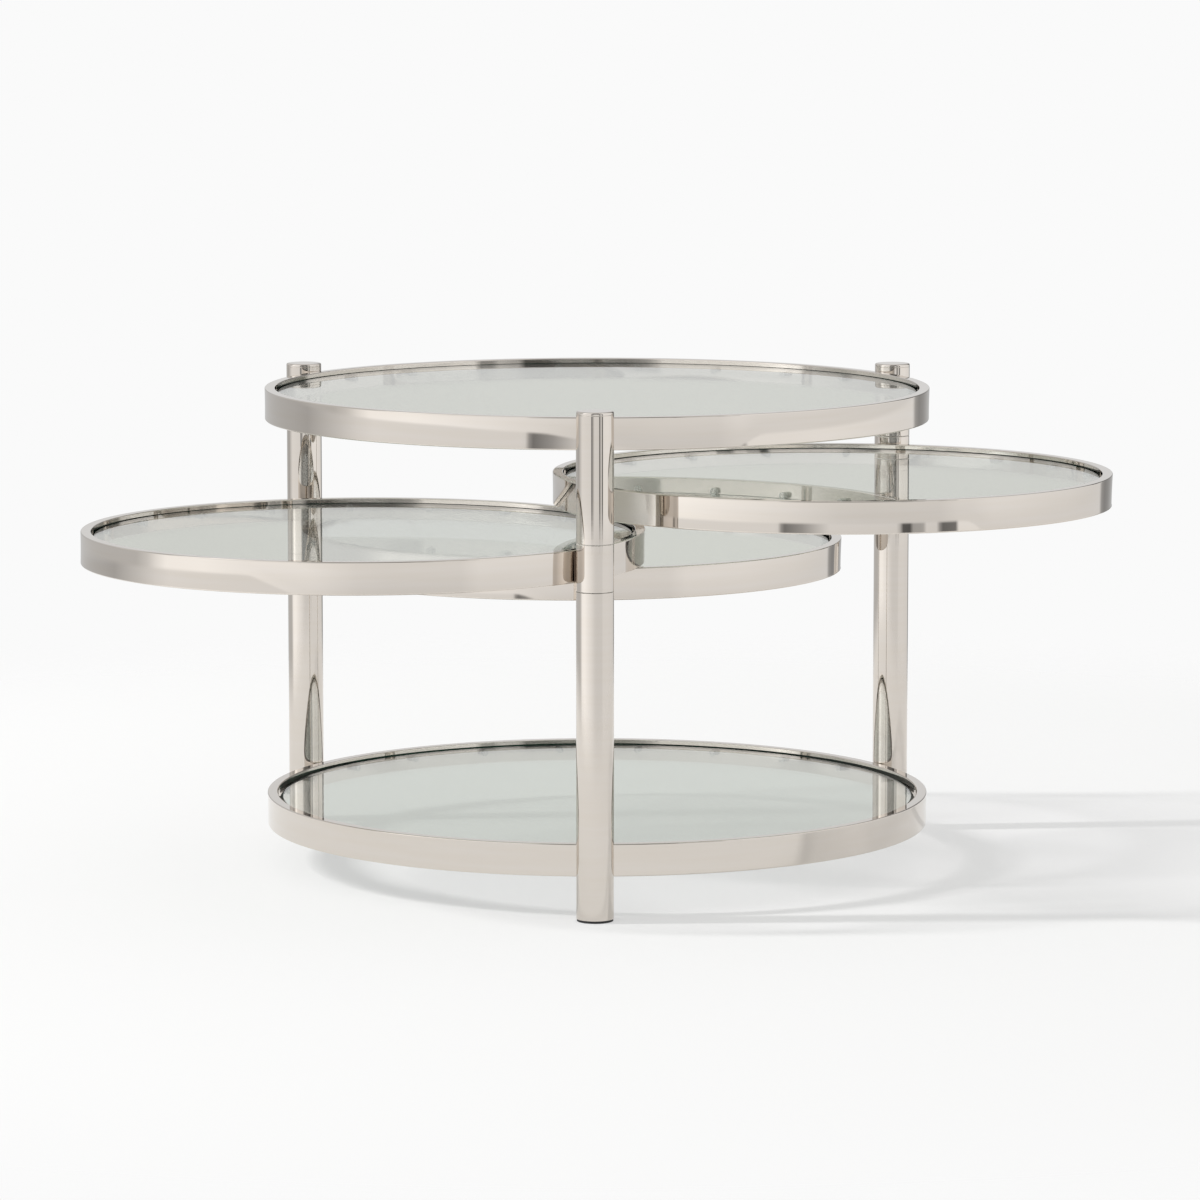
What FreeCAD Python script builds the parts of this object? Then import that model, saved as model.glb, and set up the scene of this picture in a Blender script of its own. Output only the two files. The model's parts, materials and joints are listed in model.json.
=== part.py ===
import FreeCAD, Part
import math
import os
import re
import Sketcher

# Driving dimensions: lengths in millimetres, angles in degrees
sizes = {
    # levels
    "table_height": 457,  # floor to the top of the leg caps
    "cap_rise": 7.3,  # leg caps above the top ring
    "upper_tray_gap": 40,  # underside of the top ring to the upper tray
    "middle_tray_gap": 18.1,  # underside of the upper tray to the middle tray
    "lower_tray_gap": 4.3,  # underside of the middle tray to the lower tray
    "shelf_clearance": 36.7,  # floor to the underside of the bottom ring
    # rings rolled from flat bar
    "ring_diameter": 625,  # top and bottom ring, outside
    "tray_leg_clearance": 20,  # swung tray to a neighbouring leg, at the nearest
    "ring_height": 29.5,
    "ring_width": 9.7,
    "ring_edge_round": 0.8,
    # glass and what carries it
    "glass_thickness": 10,
    "glass_recess": 4.5,  # glass below the rim
    "glass_gap": 2,  # glass edge to the ring's inner wall
    "glass_arris": 0.8,  # bevel on the polished edge
    "pin_diameter": 5,
    "pin_reach": 6,  # out of the ring's inner wall
    "sleeve_wall": 0.8,
    "fixed_pin_count": 24,
    "tray_pin_count": 20,
    # legs
    "leg_diameter": 33.7,
    "leg_wall": 2.6,
    "front_leg_angle": 270,
    "right_leg_angle": 30,
    "left_leg_angle": 150,
    "cap_thickness": 3.2,
    "cap_edge_round": 1.6,
    "cap_stem_length": 9,
    "foot_pad_height": 2.2,
    "foot_pad_inset": 0.5,  # pad edge inside the leg's outline
    "foot_stem_length": 12,
    "foot_stem_wall": 2.4,
    # swivels
    "collar_wall": 5.16,  # round the bushes
    "spindle_grip": 24,  # depth of the spindle in each plug
    "spindle_chamfer": 1,
    "plug_floor": 6,  # solid end of a plug behind the spindle
    "collar_reveal": 6.2,  # collar above and below the tray ring
    "bush_wall": 2.6,
    "bush_length": 15,  # sleeve without its flange
    "bush_flange": 0.5,
    "bush_flange_inset": 0.3,  # flange edge inside the leg's outline
    "bush_clearance": 0.04,  # running fit on the spindle, per side
    "swivel_play": 0.2,  # end play above the upper bush
    "upper_tray_swing": 45.8,  # from folded in, seen from above
    "middle_tray_swing": 50.7,
    "lower_tray_swing": 10.9,
    # joining
    "weld_gap": 0.4,  # ring to leg or collar, filled by the weld
    "weld_width": 16,
    "weld_inset": 1.5,  # weld ends inside the ring's height
    "seat_gap": 0.05,  # between pieces pressed or laid together
}

doc = FreeCAD.newDocument("SwivelCoffeeTable")
sheet = doc.addObject("Spreadsheet::Sheet", "Sizes")
for row, (alias, number) in enumerate(sizes.items(), start=1):
    sheet.set(f"A{row}", alias.replace("_", " "))
    sheet.set(f"B{row}", str(number))
    sheet.setAlias(f"B{row}", alias)
doc.recompute()

# Formulas shared by several pieces
leg_radius = "leg_diameter / 2"
leg_bore = "(leg_diameter / 2 - leg_wall)"
stem_radius = f"({leg_bore} - seat_gap)"
collar_bore = f"({leg_radius} - collar_wall)"
bush_radius = f"({collar_bore} - seat_gap)"
bush_bore = f"({bush_radius} - bush_wall)"
spindle_radius = f"({bush_bore} - bush_clearance)"
flange_radius = f"({leg_radius} - bush_flange_inset)"
collar_height = "(ring_height + 2 * collar_reveal)"
plug_length = "(spindle_grip + plug_floor)"
top_base = "(table_height - cap_rise - ring_height)"
upper_base = f"({top_base} - upper_tray_gap - ring_height)"
middle_base = f"({upper_base} - middle_tray_gap - ring_height)"
lower_base = f"({middle_base} - lower_tray_gap - ring_height)"
glass_base = "(ring_height - glass_recess - glass_thickness)"
sleeve_radius = "(pin_diameter / 2 + seat_gap + sleeve_wall)"
pin_level = f"({glass_base} - seat_gap - {sleeve_radius})"
leg_circle = f"(ring_diameter / 2 + weld_gap + {leg_radius})"
leg_spacing = f"2 * {leg_circle} * sin((left_leg_angle - right_leg_angle) / 2)"
tray_diameter = f"({leg_spacing} - leg_diameter - weld_gap - tray_leg_clearance)"
tray_arm = f"({tray_diameter} / 2 + weld_gap + {leg_radius})"

legs = {"front": "middle", "right": "upper", "left": "lower"}
tray_bases = {"upper": upper_base, "middle": middle_base, "lower": lower_base}
nodes = []


def formula(text):
    # names of sheet cells become references to the sheet
    return re.sub(r"[a-z_]+", lambda word: f"Sizes.{word[0]}" if word[0] in sizes else word[0], text)


def value(text):
    return float(sheet.evalExpression(formula(text)))


def new_body(label, x="0", y="0", z="0", turn="0"):
    body = doc.addObject("PartDesign::Body", label)
    body.Label = label
    body.AllowCompound = True
    body.setExpression("Placement.Base.x", formula(x))
    body.setExpression("Placement.Base.y", formula(y))
    body.setExpression("Placement.Base.z", formula(z))
    body.setExpression("Placement.Rotation.Angle", formula(turn))
    nodes.append(body)
    return body


def origin_feature(body, role):
    return next(item for item in body.Origin.OriginFeatures if item.Role == role)


def new_sketch(body, plane, name):
    sketch = body.newObject("Sketcher::SketchObject", f"{body.Name}_{name}")
    sketch.AttachmentSupport = (origin_feature(body, plane), [""])
    sketch.MapMode = "FlatFace"
    return sketch


def bind(sketch, kind, *place_and_text):
    # a dimension that follows its formula
    *place, text = place_and_text
    index = sketch.addConstraint(Sketcher.Constraint(kind, *place, value(text)))
    sketch.setExpression(f"Constraints[{index}]", formula(text))


def draw_outline(sketch, points):
    # a closed outline of straight lines, every corner at its own formulas
    corners = [FreeCAD.Vector(value(across), value(up), 0) for across, up in points]
    for index, corner in enumerate(corners):
        sketch.addGeometry(Part.LineSegment(corner, corners[(index + 1) % len(corners)]))
    for index, (across, up) in enumerate(points):
        following = (index + 1) % len(points)
        sketch.addConstraint(Sketcher.Constraint("Coincident", index, 2, following, 1))
        for text, kind, axis in ((across, "DistanceX", -2), (up, "DistanceY", -1)):
            if text == "0":
                sketch.addConstraint(Sketcher.Constraint("PointOnObject", index, 1, axis))
            else:
                bind(sketch, kind, -1, 1, index, 1, text)


def turned(label, outline, **place):
    # a body turned about its upright axis
    body = new_body(label, **place)
    sketch = new_sketch(body, "XZ_Plane", "outline")
    draw_outline(sketch, outline)
    spin = body.newObject("PartDesign::Revolution", f"{label}_spin")
    spin.Profile = sketch
    spin.ReferenceAxis = (sketch, ["V_Axis"])
    spin.Angle = 360
    return body


def round_edges(body, radius, wanted):
    # a fillet on the circular edges that pass the test
    base = body.Tip
    doc.recompute()
    names = [
        f"Edge{index}"
        for index, edge in enumerate(base.Shape.Edges, start=1)
        if isinstance(edge.Curve, Part.Circle) and wanted(edge.Curve)
    ]
    fillet = body.newObject("PartDesign::Fillet", f"{body.Name}_edges")
    fillet.Base = (base, names)
    fillet.setExpression("Radius", formula(radius))


def pad(body, sketch, length):
    solid = body.newObject("PartDesign::Pad", f"{body.Name}_pad")
    solid.Profile = sketch
    solid.setExpression("Length", formula(length))
    return solid


def repeat_round(body, feature, count):
    pattern = body.newObject("PartDesign::PolarPattern", f"{body.Name}_pattern")
    pattern.Originals = [feature]
    pattern.Axis = (origin_feature(body, "Z_Axis"), [""])
    pattern.Angle = 360
    pattern.setExpression("Occurrences", formula(count))
    body.Tip = pattern


def flat_bar_ring(label, diameter, **place):
    outer = f"{diameter} / 2"
    inner = f"({diameter} / 2 - ring_width)"
    outline = [(inner, "0"), (outer, "0"), (outer, "ring_height"), (inner, "ring_height")]
    body = turned(label, outline, **place)
    round_edges(body, "ring_edge_round", lambda circle: True)


def glass_pane(label, diameter, **place):
    edge = f"({diameter} / 2 - ring_width - glass_gap)"
    face = f"({edge} - glass_arris)"
    low = glass_base
    high = f"({glass_base} + glass_thickness)"
    outline = [
        ("0", low),
        (face, low),
        (edge, f"{low} + glass_arris"),
        (edge, f"{high} - glass_arris"),
        (face, high),
        ("0", high),
    ]
    turned(label, outline, **place)


def support_row(label, diameter, count, radii, **place):
    # round pieces lying along the radius, under the edge of the glass
    body = new_body(label, **place)
    sketch = new_sketch(body, "YZ_Plane", "section")
    wall = f"({diameter} / 2 - ring_width)"
    sketch.setExpression("AttachmentOffset.Base.z", formula(f"{wall} - pin_reach"))
    for index, radius in enumerate(radii):
        centre = FreeCAD.Vector(0, value(pin_level), 0)
        sketch.addGeometry(Part.Circle(centre, FreeCAD.Vector(0, 0, 1), value(radius)))
        sketch.addConstraint(Sketcher.Constraint("PointOnObject", index, 3, -2))
        bind(sketch, "DistanceY", -1, 1, index, 3, pin_level)
        bind(sketch, "Radius", index, radius)
    solid = pad(body, sketch, "pin_reach - seat_gap")
    repeat_round(body, solid, count)


def upright_weld(label, ring_radius, arm, **place):
    # the bead between a ring's outer wall and the tube beside it
    body = new_body(label, **place)
    sketch = new_sketch(body, "XY_Plane", "section")
    half = value("weld_width") / 2
    upward = FreeCAD.Vector(0, 0, 1)
    ring = Part.Circle(FreeCAD.Vector(0, 0, 0), upward, value(ring_radius))
    tube = Part.Circle(FreeCAD.Vector(value(arm), 0, 0), upward, value(leg_radius))
    ring_turn = math.asin(half / ring.Radius)
    tube_turn = math.asin(half / tube.Radius)
    ring_arc = Part.ArcOfCircle(ring, -ring_turn, ring_turn)
    tube_arc = Part.ArcOfCircle(tube, math.pi - tube_turn, math.pi + tube_turn)
    near_line = Part.LineSegment(ring_arc.StartPoint, tube_arc.EndPoint)
    far_line = Part.LineSegment(tube_arc.StartPoint, ring_arc.EndPoint)
    sketch.addGeometry([ring_arc, tube_arc, near_line, far_line])
    joints = [(2, 1, 0, 1), (2, 2, 1, 2), (3, 1, 1, 1), (3, 2, 0, 2)]
    for joint in joints:
        sketch.addConstraint(Sketcher.Constraint("Coincident", *joint))
    sketch.addConstraint(Sketcher.Constraint("Coincident", 0, 3, -1, 1))
    sketch.addConstraint(Sketcher.Constraint("PointOnObject", 1, 3, -1))
    sketch.addConstraint(Sketcher.Constraint("Horizontal", 2))
    sketch.addConstraint(Sketcher.Constraint("Horizontal", 3))
    bind(sketch, "Radius", 0, ring_radius)
    bind(sketch, "Radius", 1, leg_radius)
    bind(sketch, "DistanceX", -1, 1, 1, 3, arm)
    bind(sketch, "DistanceY", 2, 1, -1, 1, "weld_width / 2")
    bind(sketch, "DistanceY", -1, 1, 3, 2, "weld_width / 2")
    pad(body, sketch, "ring_height - 2 * weld_inset")


def glazed_ring(name, diameter, count, **place):
    # a ring with its pane, and the pins and sleeves that the pane lies on
    flat_bar_ring(f"{name}_ring", diameter, **place)
    glass_pane(f"{name}_glass", diameter, **place)
    half_step = {**place, "turn": f"{place['turn']} + 180 / {count}"}
    pin = "pin_diameter / 2"
    support_row(f"{name}_glass_pins", diameter, count, [pin], **half_step)
    sleeve = [sleeve_radius, f"({pin} + seat_gap)"]
    support_row(f"{name}_glass_sleeves", diameter, count, sleeve, **half_step)


def tube(label, length, **place):
    outline = [(leg_bore, "0"), (leg_radius, "0"), (leg_radius, length), (leg_bore, length)]
    turned(label, outline, **place)


def plug(label, floor_first, **place):
    # turned plug in a tube's end, bored from one side for the spindle
    socket = f"({spindle_radius} + seat_gap)"
    if floor_first:
        outline = [
            ("0", "0"),
            (stem_radius, "0"),
            (stem_radius, plug_length),
            (socket, plug_length),
            (socket, "plug_floor"),
            ("0", "plug_floor"),
        ]
    else:
        outline = [
            (socket, "0"),
            (stem_radius, "0"),
            (stem_radius, plug_length),
            ("0", plug_length),
            ("0", "spindle_grip"),
            (socket, "spindle_grip"),
        ]
    turned(label, outline, **place)


def spindle(label, length, **place):
    neck = f"({spindle_radius} - spindle_chamfer)"
    outline = [
        ("0", "0"),
        (neck, "0"),
        (spindle_radius, "spindle_chamfer"),
        (spindle_radius, f"{length} - spindle_chamfer"),
        (neck, length),
        ("0", length),
    ]
    turned(label, outline, **place)


def leg_cap(label, **place):
    crown = "(cap_stem_length + cap_thickness)"
    outline = [
        ("0", "0"),
        (stem_radius, "0"),
        (stem_radius, "cap_stem_length"),
        (leg_radius, "cap_stem_length"),
        (leg_radius, crown),
        ("0", crown),
    ]
    body = turned(label, outline, **place)
    top = value(crown)
    round_edges(body, "cap_edge_round", lambda circle: abs(circle.Center.z - top) < value("seat_gap"))


def foot_pad(label, **place):
    # flat pad under the tube with a hollow stem pressed into it
    pad_radius = f"({leg_radius} - foot_pad_inset)"
    stem_bore = f"({stem_radius} - foot_stem_wall)"
    stem_top = "(foot_pad_height + foot_stem_length)"
    outline = [
        ("0", "0"),
        (pad_radius, "0"),
        (pad_radius, "foot_pad_height"),
        (stem_radius, "foot_pad_height"),
        (stem_radius, stem_top),
        (stem_bore, stem_top),
        (stem_bore, "foot_pad_height"),
        ("0", "foot_pad_height"),
    ]
    turned(label, outline, **place)


def collar(label, **place):
    outline = [
        (collar_bore, "0"),
        (leg_radius, "0"),
        (leg_radius, collar_height),
        (collar_bore, collar_height),
    ]
    turned(label, outline, **place)


def bush(label, flange_first, **place):
    # flanged bush: the sleeve fills the collar, the flange shows as a seam
    total = "(bush_length + bush_flange)"
    if flange_first:
        outline = [
            (bush_bore, "0"),
            (flange_radius, "0"),
            (flange_radius, "bush_flange"),
            (bush_radius, "bush_flange"),
            (bush_radius, total),
            (bush_bore, total),
        ]
    else:
        outline = [
            (bush_bore, "0"),
            (bush_radius, "0"),
            (bush_radius, "bush_length"),
            (flange_radius, "bush_length"),
            (flange_radius, total),
            (bush_bore, total),
        ]
    turned(label, outline, **place)


def build_leg(side, tray):
    # two tubes with a gap between them where the tray's collar turns
    angle = f"{side}_leg_angle"
    spot = {"x": f"{leg_circle} * cos({angle})", "y": f"{leg_circle} * sin({angle})"}
    seat = f"({tray_bases[tray]} - collar_reveal - bush_flange)"
    lift = f"({seat} + {collar_height} + 2 * bush_flange + swivel_play)"
    shoulder = "(table_height - cap_thickness)"
    name = f"{side}_leg"
    foot_pad(f"{name}_foot", **spot)
    tube(f"{name}_lower_tube", f"({seat} - foot_pad_height)", **spot, z="foot_pad_height")
    plug(f"{name}_lower_plug", True, **spot, z=f"{seat} - {plug_length}")
    spindle_length = f"({lift} - {seat} + 2 * spindle_grip)"
    spindle(f"{name}_spindle", spindle_length, **spot, z=f"{seat} - spindle_grip")
    plug(f"{name}_upper_plug", False, **spot, z=lift)
    tube(f"{name}_upper_tube", f"({shoulder} - {lift})", **spot, z=lift)
    leg_cap(f"{name}_cap", **spot, z=f"{shoulder} - cap_stem_length")


def build_tray(side, tray):
    # a glazed ring welded to the collar that turns on its leg
    angle = f"{side}_leg_angle"
    leg_x = f"{leg_circle} * cos({angle})"
    leg_y = f"{leg_circle} * sin({angle})"
    heading = f"({angle} + {tray}_tray_swing)"
    base = tray_bases[tray]
    centre = {
        "x": f"{leg_x} - {tray_arm} * cos({heading})",
        "y": f"{leg_y} - {tray_arm} * sin({heading})",
        "turn": heading,
    }
    name = f"{tray}_tray"
    glazed_ring(name, tray_diameter, "tray_pin_count", **centre, z=base)
    upright_weld(f"{name}_weld", f"{tray_diameter} / 2", tray_arm, **centre, z=f"{base} + weld_inset")
    foot = f"({base} - collar_reveal)"
    collar(f"{name}_collar", x=leg_x, y=leg_y, z=foot)
    bush(f"{name}_lower_bush", True, x=leg_x, y=leg_y, z=f"{foot} - bush_flange")
    bush(f"{name}_upper_bush", False, x=leg_x, y=leg_y, z=f"{foot} + {collar_height} - bush_length")


def build_fixed_ring(name, base):
    # top or bottom ring with a weld at each leg
    glazed_ring(name, "ring_diameter", "fixed_pin_count", z=base, turn="front_leg_angle")
    for side in legs:
        raised = {"z": f"{base} + weld_inset", "turn": f"{side}_leg_angle"}
        upright_weld(f"{name}_ring_{side}_weld", "ring_diameter / 2", leg_circle, **raised)


build_fixed_ring("top", top_base)
build_fixed_ring("bottom", "shelf_clearance")
for side, tray in legs.items():
    build_leg(side, tray)
    build_tray(side, tray)
doc.recompute()

# Every object must be sound before anything is written
faults = [item.Name for item in doc.Objects if {"Invalid", "Error"} & set(item.State)]
faults += [body.Label for body in nodes if body.Shape.isNull() or not body.Shape.isValid()]
if faults:
    raise RuntimeError(f"these objects failed: {faults}")
os.makedirs("parts", exist_ok=True)
for body in nodes:
    body.Shape.exportStep(f"parts/{body.Label}.step")
    print(body.Label, len(body.Shape.Solids), "solids", round(body.Shape.Volume), "mm3")
print(len(nodes), "nodes")
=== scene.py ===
import bpy
import json
import math
import numpy as np
from mathutils import Matrix, Vector


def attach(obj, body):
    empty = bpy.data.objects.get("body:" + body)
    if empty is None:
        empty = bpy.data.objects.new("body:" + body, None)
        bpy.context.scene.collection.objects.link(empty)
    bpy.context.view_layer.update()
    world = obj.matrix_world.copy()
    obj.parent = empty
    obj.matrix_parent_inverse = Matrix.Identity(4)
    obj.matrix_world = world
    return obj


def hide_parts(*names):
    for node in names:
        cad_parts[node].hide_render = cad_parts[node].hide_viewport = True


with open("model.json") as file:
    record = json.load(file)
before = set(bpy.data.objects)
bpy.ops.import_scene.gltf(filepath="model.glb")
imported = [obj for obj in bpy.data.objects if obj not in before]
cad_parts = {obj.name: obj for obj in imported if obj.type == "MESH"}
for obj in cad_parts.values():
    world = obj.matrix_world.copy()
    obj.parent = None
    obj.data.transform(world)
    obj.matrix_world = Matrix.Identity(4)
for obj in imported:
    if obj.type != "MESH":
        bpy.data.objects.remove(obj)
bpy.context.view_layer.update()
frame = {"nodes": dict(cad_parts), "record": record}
scene = bpy.context.scene
mm = 0.001  # the frame is in metres
bodyOfNode = {node: body for body, nodes in frame["record"]["behaviour"]["bodies"].items() for node in nodes}
trays = {"upper": "right", "middle": "front", "lower": "left"}  # each tray and the leg that it turns on
print("frame loaded,", len(frame["nodes"]), "nodes")


def linearColour(hexText):
    # sRGB to linear, with the constants of that standard
    parts = [int(hexText[at:at + 2], 16) / 255 for at in (1, 3, 5)]
    return tuple(p / 12.92 if p <= 0.04045 else ((p + 0.055) / 1.055) ** 2.4 for p in parts) + (1.0,)


def addNode(tree, kind, inputs=None, stops=None, **settings):
    node = tree.nodes.new(kind)
    for name, setting in settings.items():
        setattr(node, name, setting)
    for name, given in (inputs or {}).items():
        if isinstance(given, bpy.types.NodeSocket):
            tree.links.new(given, node.inputs[name])
        else:
            node.inputs[name].default_value = given
    if stops:
        marks = node.color_ramp.elements
        for at, level in stops:  # the first and last mark are there already
            mark = marks[0] if at == 0 else marks[-1] if at == 1 else marks.new(at)
            mark.color = (level, level, level, 1.0)
    return node


def startMaterial(name):
    material = bpy.data.materials.new(name)
    material.use_nodes = True
    material.node_tree.nodes.clear()
    return material, material.node_tree


# Nickel plate on steel, buffed to a mirror on a cloth wheel. The eye gets a warm grey
# mirror: reflections run slightly wavy along the bar, under a faint haze of buffing lines.
def polishedNickel():
    look = {
        "colour": "#DAD4CE",
        "warmer": "#D6CEC4",
        "clean": 0.008,  # roughness between and inside the hazy patches
        "hazy": 0.04,
        "hazeFrom": 0.15,  # noise level at which the haze starts, and at which it is full
        "hazeTo": 0.42,
        "wave": 90 * mm,
        "waveHeight": 0.03 * mm,
        "ripple": 7 * mm,  # the wheel's passes, long along the bar and narrow across it
        "rippleRun": 130 * mm,
        "rippleHeight": 0.0022 * mm,
        "line": 0.9 * mm,  # real buffing lines are near 0.05 mm, drawn coarser to show
        "lineRun": 60 * mm,
        "lineHeight": 0.00025 * mm,
    }
    material, tree = startMaterial("polishedNickel")
    place = addNode(tree, "ShaderNodeTexCoord").outputs["Object"]
    along = addNode(tree, "ShaderNodeUVMap").outputs["UV"]
    patches = addNode(tree, "ShaderNodeTexNoise", {"Vector": place, "Scale": 1 / look["wave"], "Detail": 1.0})
    passRun = addNode(tree, "ShaderNodeMapping", {
        "Vector": along, "Scale": (1 / look["rippleRun"], 1 / look["ripple"], 1.0)})
    passes = addNode(tree, "ShaderNodeTexNoise", {"Vector": passRun.outputs["Vector"], "Scale": 1.0, "Detail": 2.0})
    lineRun = addNode(tree, "ShaderNodeMapping", {
        "Vector": along, "Scale": (1 / look["lineRun"], 1 / look["line"], 1.0)})
    lines = addNode(tree, "ShaderNodeTexNoise", {"Vector": lineRun.outputs["Vector"], "Scale": 1.0, "Detail": 4.0})
    haze = addNode(tree, "ShaderNodeMath", {0: passes.outputs["Fac"], 1: lines.outputs["Fac"]}, operation="MULTIPLY")
    rough = addNode(tree, "ShaderNodeMapRange", {
        "Value": haze.outputs["Value"], "From Min": look["hazeFrom"], "From Max": look["hazeTo"],
        "To Min": look["clean"], "To Max": look["hazy"]})
    tint = addNode(tree, "ShaderNodeMix", {
        "Factor": passes.outputs["Fac"], "A": linearColour(look["colour"]), "B": linearColour(look["warmer"])},
        data_type="RGBA")
    wave = addNode(tree, "ShaderNodeBump", {
        "Height": patches.outputs["Fac"], "Strength": 1.0, "Distance": look["waveHeight"]})
    ripple = addNode(tree, "ShaderNodeBump", {
        "Height": passes.outputs["Fac"], "Strength": 1.0, "Distance": look["rippleHeight"],
        "Normal": wave.outputs["Normal"]})
    fine = addNode(tree, "ShaderNodeBump", {
        "Height": lines.outputs["Fac"], "Strength": 1.0, "Distance": look["lineHeight"],
        "Normal": ripple.outputs["Normal"]})
    shader = addNode(tree, "ShaderNodeBsdfPrincipled", {
        "Base Color": tint.outputs["Result"], "Metallic": 1.0, "Roughness": rough.outputs["Result"],
        "Normal": fine.outputs["Normal"]})
    addNode(tree, "ShaderNodeOutputMaterial", {"Surface": shader.outputs["BSDF"]})
    return material


# The same plate over a weld bead that the wheel can't reach: a dull shine with a fine grain. Its dark brown colour is
# painted shade of the crevice between the ring and the leg that the bead fills.
def platedWeldPaintedShade():
    look = {
        # dark brown: painted shade of the crevice round the bead
        "colour": "#5E5044",
        "roughness": 0.22,
        "spread": (0.7, 1.4),  # shares of the roughness between which the grain varies it
        "grain": 0.5 * mm,
        "grainHeight": 0.02 * mm,
        "bump": 0.5,
    }
    material, tree = startMaterial("platedWeldPaintedShade")
    place = addNode(tree, "ShaderNodeTexCoord").outputs["Object"]
    grain = addNode(tree, "ShaderNodeTexNoise", {"Vector": place, "Scale": 1 / look["grain"], "Detail": 3.0})
    rough = addNode(tree, "ShaderNodeMapRange", {
        "Value": grain.outputs["Fac"], "To Min": look["roughness"] * look["spread"][0],
        "To Max": look["roughness"] * look["spread"][1]})
    bump = addNode(tree, "ShaderNodeBump", {
        "Height": grain.outputs["Fac"], "Strength": look["bump"], "Distance": look["grainHeight"]})
    shader = addNode(tree, "ShaderNodeBsdfPrincipled", {
        "Base Color": linearColour(look["colour"]), "Metallic": 1.0, "Roughness": rough.outputs["Result"],
        "Normal": bump.outputs["Normal"]})
    addNode(tree, "ShaderNodeOutputMaterial", {"Surface": shader.outputs["BSDF"]})
    return material


# Clear float glass, toughened: almost colourless through the face, green along the sheet,
# with a few wiping streaks that only soften reflections.
def floatGlass():
    look = {
        "face": "#FBFDFC",
        "index": 1.52,
        "streak": 35 * mm,
        "streakRun": 260 * mm,
        "streakTurn": 35,  # degrees
        "streakFrom": 0.52,  # noise level at which a streak starts, and at which it is full
        "streakTo": 0.75,
        "clean": 0.0,  # roughness beside and in the streaks
        "smeared": 0.004,
        "spared": "#00C595",  # the density takes what this colour lacks: all of red, least of green
        "density": 3.0,  # per metre, gives a 10 mm pane its 0.98 transmission
        "shadowTint": "#FAF8F9",  # what a shadow ray keeps at each face
    }
    material, tree = startMaterial("floatGlass")
    place = addNode(tree, "ShaderNodeTexCoord").outputs["Object"]
    wiped = addNode(tree, "ShaderNodeMapping", {
        "Vector": place, "Scale": (1 / look["streakRun"], 1 / look["streak"], 1 / look["streak"]),
        "Rotation": (0.0, 0.0, math.radians(look["streakTurn"]))})
    streaks = addNode(tree, "ShaderNodeTexNoise", {"Vector": wiped.outputs["Vector"], "Scale": 1.0, "Detail": 3.0})
    rough = addNode(tree, "ShaderNodeMapRange", {
        "Value": streaks.outputs["Fac"], "From Min": look["streakFrom"], "From Max": look["streakTo"],
        "To Min": look["clean"], "To Max": look["smeared"]})
    shader = addNode(tree, "ShaderNodeBsdfPrincipled", {
        "Base Color": linearColour(look["face"]), "Roughness": rough.outputs["Result"], "IOR": look["index"],
        "Transmission Weight": 1.0})
    passing = addNode(tree, "ShaderNodeBsdfTransparent", {"Color": linearColour(look["shadowTint"])})
    rays = addNode(tree, "ShaderNodeLightPath")
    mixed = addNode(tree, "ShaderNodeMixShader", {
        0: rays.outputs["Is Shadow Ray"], 1: shader.outputs["BSDF"], 2: passing.outputs["BSDF"]})
    green = addNode(tree, "ShaderNodeVolumeAbsorption", {
        "Color": linearColour(look["spared"]), "Density": look["density"]})
    addNode(tree, "ShaderNodeOutputMaterial", {"Surface": mixed.outputs["Shader"], "Volume": green.outputs["Volume"]})
    return material


# The pane's edge, ground and left matt, with little shine, streaked along the edge by the wheel. The depth of the sheet
# behind it makes it green, and it is darkened to near black as painted shade of the dark gap between pane and ring.
def groundEdge():
    look = {
        # near black: partly the green of the sheet, partly painted shade of the gap between pane and ring
        "deep": "#06241C",
        "pale": "#123C31",
        "roughness": 0.3,
        "spread": (0.6, 1.4),
        "index": 1.52,
        "shine": 0.2,
        "grind": 1.2 * mm,  # real grinding marks are finer, drawn coarser to show
        "grindRun": 40 * mm,
        "grindHeight": 0.004 * mm,
        "bump": 0.6,
    }
    material, tree = startMaterial("groundEdgeWithGapShade")
    along = addNode(tree, "ShaderNodeUVMap").outputs["UV"]
    run = addNode(tree, "ShaderNodeMapping", {"Vector": along, "Scale": (1 / look["grindRun"], 1 / look["grind"], 1.0)})
    marks = addNode(tree, "ShaderNodeTexNoise", {"Vector": run.outputs["Vector"], "Scale": 1.0, "Detail": 3.0})
    tint = addNode(tree, "ShaderNodeMix", {
        "Factor": marks.outputs["Fac"], "A": linearColour(look["deep"]), "B": linearColour(look["pale"])},
        data_type="RGBA")
    rough = addNode(tree, "ShaderNodeMapRange", {
        "Value": marks.outputs["Fac"], "To Min": look["roughness"] * look["spread"][0],
        "To Max": look["roughness"] * look["spread"][1]})
    bump = addNode(tree, "ShaderNodeBump", {
        "Height": marks.outputs["Fac"], "Strength": look["bump"], "Distance": look["grindHeight"]})
    shader = addNode(tree, "ShaderNodeBsdfPrincipled", {
        "Base Color": tint.outputs["Result"], "Roughness": rough.outputs["Result"], "IOR": look["index"],
        "Specular IOR Level": look["shine"], "Normal": bump.outputs["Normal"]})
    addNode(tree, "ShaderNodeOutputMaterial", {"Surface": shader.outputs["BSDF"]})
    return material


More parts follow.
